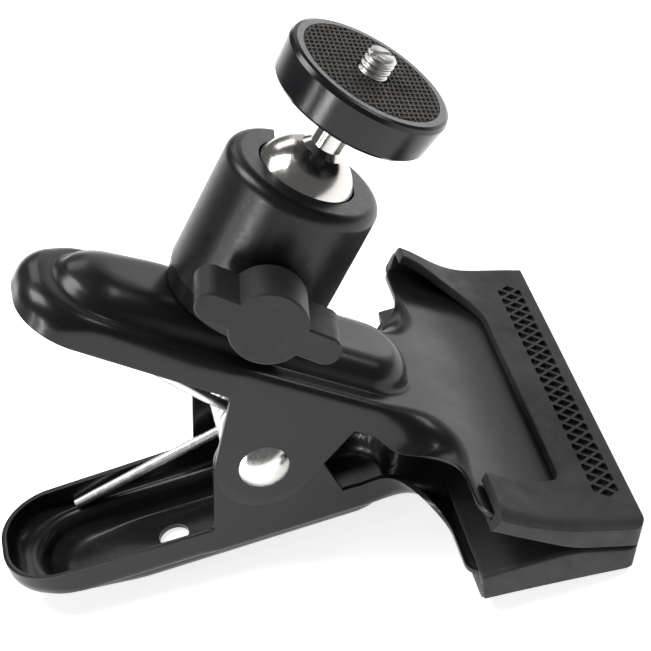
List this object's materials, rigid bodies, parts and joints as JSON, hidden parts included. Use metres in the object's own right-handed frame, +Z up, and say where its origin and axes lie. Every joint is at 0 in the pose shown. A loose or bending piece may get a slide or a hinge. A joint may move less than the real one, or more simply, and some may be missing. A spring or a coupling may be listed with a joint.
{
  "type": "spring clamp with ball head",
  "caption": "Squeeze-handled spring clamp with wide rubber-covered jaws, carrying a small lockable ball head with a round camera platform and screw.",
  "frame": {"origin": "middle of the base of the whole clamp as it lies on its lower arm, jaws closed", "axes": "+X from the handles to the jaws, +Y across, the lock knob on the -Y side, +Z up"},
  "size_m": [0.1336, 0.0962, 0.1176],
  "materials": {
    "arm_paint": "semi-gloss black paint on pressed steel",
    "jaw_rubber": "matt moulded rubber",
    "plated_steel": "bright zinc plate",
    "spring_wire": "bright plated wire",
    "head_finish": "satin black anodised alloy",
    "platform_finish": "semi-gloss black anodised alloy",
    "inner_plastic": "natural nylon",
    "brass_block": "turned brass",
    "knob_plastic": "fine matt moulded plastic",
    "polished_ball": "mirror polished chrome plate",
    "pad_rubber": "fine diamond mesh rubber"
  },
  "bodies": {
    "lower_arm": {"lower_jaw_arm": "arm_paint", "lower_jaw_cover": "jaw_rubber", "pivot_rivet": "plated_steel", "rivet_washer": "plated_steel", "spring_lower_half": "spring_wire"},
    "upper_arm": {"upper_jaw_arm": "arm_paint", "upper_jaw_cover": "jaw_rubber", "spring_upper_half": "spring_wire", "head_base": "head_finish", "mounting_washer": "plated_steel", "mounting_screw": "plated_steel"},
    "ball_head": {"head_body": "head_finish", "retaining_ring": "spring_wire", "ball_seat": "inner_plastic", "pressure_block": "brass_block", "knob_washer": "inner_plastic"},
    "lock_knob": {"lock_knob": "knob_plastic", "lock_screw": "plated_steel"},
    "ball": {"ball_stud": "polished_ball"},
    "platform": {"camera_platform": "platform_finish", "platform_pad": "pad_rubber", "camera_screw": "polished_ball"}
  },
  "joints": [
    {"name": "jaw_open", "type": "hinge", "parent": "lower_arm", "child": "upper_arm", "pos_m": [-0.00615, 0, 0.0289], "axis": [0, -1, 0], "range_deg": [0, 40], "stiffness_Nm_per_rad": 0.9, "springref_deg": -51.57},
    {"name": "head_pan", "type": "hinge", "parent": "upper_arm", "child": "ball_head", "pos_m": [-0.00229, 0, 0.06014], "axis": [0.6052, 0, 0.7961], "continuous": true},
    {"name": "knob_turn", "type": "hinge", "parent": "ball_head", "child": "lock_knob", "pos_m": [0.00569, 0, 0.07064], "axis": [-0.1314, -0.9863, 0.0999], "range_deg": [0, 360]},
    {"name": "ball_tilt", "type": "hinge", "parent": "ball_head", "child": "ball", "pos_m": [0.01584, 0, 0.08399], "axis": [-0.7852, 0.165, 0.5969], "range_deg": [-38, 90]},
    {"name": "platform_turn", "type": "hinge", "parent": "ball", "child": "platform", "pos_m": [0.01584, 0, 0.08399], "axis": [0.6508, -0.0483, 0.7577], "continuous": true}
  ]
}
